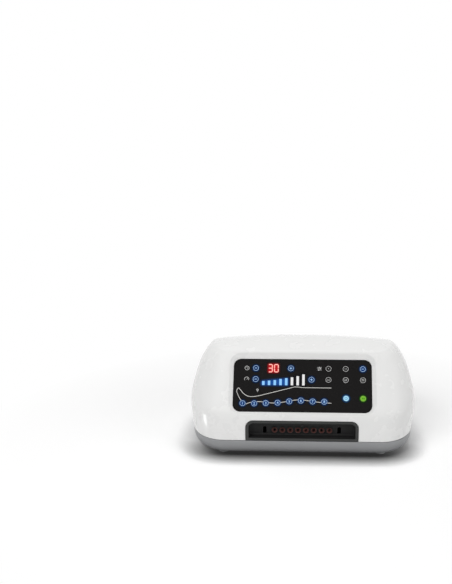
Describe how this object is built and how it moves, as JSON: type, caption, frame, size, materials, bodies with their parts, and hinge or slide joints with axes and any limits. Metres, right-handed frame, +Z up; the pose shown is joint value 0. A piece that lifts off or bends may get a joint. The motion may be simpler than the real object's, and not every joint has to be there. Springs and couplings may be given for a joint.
{
  "type": "compression therapy pump",
  "caption": "Desk-top air pump console for compression therapy, with a leaning key panel, a hose bay in front and mains parts behind.",
  "frame": {"origin": "middle of the base, on the plane of the feet", "axes": "+X across the front to the right as seen by the user, +Y from front to rear, +Z up"},
  "size_m": [0.32, 0.22, 0.1497],
  "materials": {
    "casing_white": "gloss moulded ABS, warm white",
    "casing_grey": "satin moulded ABS, mid grey",
    "overlay_black": "hard-coated black polyester overlay, printed from behind",
    "bay_charcoal": "fine-textured charcoal ABS",
    "display_face": "dark epoxy face with lit segments",
    "mat_silicone": "moulded silicone",
    "circuit_board": "green solder resist on glass laminate",
    "gasket_silicone": "red-brown moulded silicone",
    "inner_plastic": "dark moulded nylon",
    "receiver_lens": "smoked polycarbonate lens",
    "clear_tube": "milky silicone tube",
    "spool_plastic": "natural acetal",
    "plated_steel": "zinc-plated steel",
    "cast_alloy": "die-cast aluminium",
    "foot_rubber": "pale grey moulded rubber",
    "pin_brass": "nickel-flashed brass",
    "rocker_plastic": "black polycarbonate",
    "laminated_steel": "varnished steel laminations",
    "lead_sheath": "black PVC sheath",
    "ribbon_cable": "grey PVC ribbon",
    "screw_steel": "zinc-plated steel",
    "key_cap": "black hard-coated cap with a printed ring",
    "key_lit_blue": "black cap with a lit blue ring",
    "key_lit_pale": "translucent cap lit pale blue",
    "key_lit_green": "translucent cap lit green"
  },
  "bodies": {
    "console": {"top_cover": "casing_white", "base_tub": "casing_grey", "rear_panel": "bay_charcoal", "overlay_panel": "overlay_black", "time_display": "display_face", "pressure_bargraph": "display_face", "key_mat": "mat_silicone", "display_board": "circuit_board", "port_bay": "bay_charcoal", "port_gasket": "gasket_silicone", "port_manifold": "inner_plastic", "ir_receiver": "receiver_lens", "channel_tubes": "clear_tube", "valve_body": "inner_plastic", "valve_motor": "plated_steel", "pump_housing": "cast_alloy", "pump_head_left": "inner_plastic", "pump_head_right": "inner_plastic", "pump_cradle": "foot_rubber", "air_hose_left": "clear_tube", "air_hose_right": "clear_tube", "inlet_housing": "inner_plastic", "inlet_pins": "pin_brass", "rocker_frame": "inner_plastic", "fuse_holder": "inner_plastic", "main_board": "circuit_board", "transformer": "laminated_steel", "power_lead": "lead_sheath", "flat_cable": "ribbon_cable", "foot_front_left": "foot_rubber", "screw_front_left": "screw_steel", "foot_front_right": "foot_rubber", "screw_front_right": "screw_steel", "foot_rear_left": "foot_rubber", "screw_rear_left": "screw_steel", "foot_rear_right": "foot_rubber", "screw_rear_right": "screw_steel"},
    "key_time_minus": {"key_time_minus": "key_cap"},
    "key_time_plus": {"key_time_plus": "key_cap"},
    "key_pressure_minus": {"key_pressure_minus": "key_cap"},
    "key_pressure_plus": {"key_pressure_plus": "key_cap"},
    "key_mode_a": {"key_mode_a": "key_cap"},
    "key_mode_b": {"key_mode_b": "key_cap"},
    "key_mode_c": {"key_mode_c": "key_lit_blue"},
    "key_mode_d": {"key_mode_d": "key_cap"},
    "key_mode_e": {"key_mode_e": "key_cap"},
    "key_mode_f": {"key_mode_f": "key_cap"},
    "key_power": {"key_power": "key_lit_pale"},
    "key_start": {"key_start": "key_lit_green"},
    "key_chamber_1": {"key_chamber_1": "key_cap"},
    "key_chamber_2": {"key_chamber_2": "key_cap"},
    "key_chamber_3": {"key_chamber_3": "key_cap"},
    "key_chamber_4": {"key_chamber_4": "key_cap"},
    "key_chamber_5": {"key_chamber_5": "key_cap"},
    "key_chamber_6": {"key_chamber_6": "key_cap"},
    "key_chamber_7": {"key_chamber_7": "key_cap"},
    "key_chamber_8": {"key_chamber_8": "key_cap"},
    "rocker": {"rocker_switch": "rocker_plastic"},
    "armature": {"pump_armature": "plated_steel"},
    "spool": {"valve_rotor": "spool_plastic"}
  },
  "joints": [
    {"name": "time_minus_press", "type": "slide", "parent": "console", "child": "key_time_minus", "axis": [0, 0.8387, -0.5446], "range_m": [0, 0.0005], "stiffness_N_per_m": 2000},
    {"name": "time_plus_press", "type": "slide", "parent": "console", "child": "key_time_plus", "axis": [0, 0.8387, -0.5446], "range_m": [0, 0.0005], "stiffness_N_per_m": 2000},
    {"name": "pressure_minus_press", "type": "slide", "parent": "console", "child": "key_pressure_minus", "axis": [0, 0.8387, -0.5446], "range_m": [0, 0.0005], "stiffness_N_per_m": 2000},
    {"name": "pressure_plus_press", "type": "slide", "parent": "console", "child": "key_pressure_plus", "axis": [0, 0.8387, -0.5446], "range_m": [0, 0.0005], "stiffness_N_per_m": 2000},
    {"name": "mode_a_press", "type": "slide", "parent": "console", "child": "key_mode_a", "axis": [0, 0.8387, -0.5446], "range_m": [0, 0.0005], "stiffness_N_per_m": 2000},
    {"name": "mode_b_press", "type": "slide", "parent": "console", "child": "key_mode_b", "axis": [0, 0.8387, -0.5446], "range_m": [0, 0.0005], "stiffness_N_per_m": 2000},
    {"name": "mode_c_press", "type": "slide", "parent": "console", "child": "key_mode_c", "axis": [0, 0.8387, -0.5446], "range_m": [0, 0.0005], "stiffness_N_per_m": 2000},
    {"name": "mode_d_press", "type": "slide", "parent": "console", "child": "key_mode_d", "axis": [0, 0.8387, -0.5446], "range_m": [0, 0.0005], "stiffness_N_per_m": 2000},
    {"name": "mode_e_press", "type": "slide", "parent": "console", "child": "key_mode_e", "axis": [0, 0.8387, -0.5446], "range_m": [0, 0.0005], "stiffness_N_per_m": 2000},
    {"name": "mode_f_press", "type": "slide", "parent": "console", "child": "key_mode_f", "axis": [0, 0.8387, -0.5446], "range_m": [0, 0.0005], "stiffness_N_per_m": 2000},
    {"name": "power_press", "type": "slide", "parent": "console", "child": "key_power", "axis": [0, 0.8387, -0.5446], "range_m": [0, 0.0005], "stiffness_N_per_m": 2000},
    {"name": "start_press", "type": "slide", "parent": "console", "child": "key_start", "axis": [0, 0.8387, -0.5446], "range_m": [0, 0.0005], "stiffness_N_per_m": 2000},
    {"name": "chamber_1_press", "type": "slide", "parent": "console", "child": "key_chamber_1", "axis": [0, 0.8387, -0.5446], "range_m": [0, 0.0005], "stiffness_N_per_m": 2000},
    {"name": "chamber_2_press", "type": "slide", "parent": "console", "child": "key_chamber_2", "axis": [0, 0.8387, -0.5446], "range_m": [0, 0.0005], "stiffness_N_per_m": 2000},
    {"name": "chamber_3_press", "type": "slide", "parent": "console", "child": "key_chamber_3", "axis": [0, 0.8387, -0.5446], "range_m": [0, 0.0005], "stiffness_N_per_m": 2000},
    {"name": "chamber_4_press", "type": "slide", "parent": "console", "child": "key_chamber_4", "axis": [0, 0.8387, -0.5446], "range_m": [0, 0.0005], "stiffness_N_per_m": 2000},
    {"name": "chamber_5_press", "type": "slide", "parent": "console", "child": "key_chamber_5", "axis": [0, 0.8387, -0.5446], "range_m": [0, 0.0005], "stiffness_N_per_m": 2000},
    {"name": "chamber_6_press", "type": "slide", "parent": "console", "child": "key_chamber_6", "axis": [0, 0.8387, -0.5446], "range_m": [0, 0.0005], "stiffness_N_per_m": 2000},
    {"name": "chamber_7_press", "type": "slide", "parent": "console", "child": "key_chamber_7", "axis": [0, 0.8387, -0.5446], "range_m": [0, 0.0005], "stiffness_N_per_m": 2000},
    {"name": "chamber_8_press", "type": "slide", "parent": "console", "child": "key_chamber_8", "axis": [0, 0.8387, -0.5446], "range_m": [0, 0.0005], "stiffness_N_per_m": 2000},
    {"name": "rocker_tip", "type": "hinge", "parent": "console", "child": "rocker", "pos_m": [0.022, 0.1002, 0.058], "axis": [-1, 0, 0], "range_deg": [0, 18]},
    {"name": "armature_stroke", "type": "slide", "parent": "console", "child": "armature", "axis": [1, 0, 0], "range_m": [-0.0015, 0.0015], "stiffness_N_per_m": 5000},
    {"name": "spool_turn", "type": "hinge", "parent": "console", "child": "spool", "pos_m": [0, -0.035, 0.0364], "axis": [1, 0, 0], "continuous": true}
  ]
}
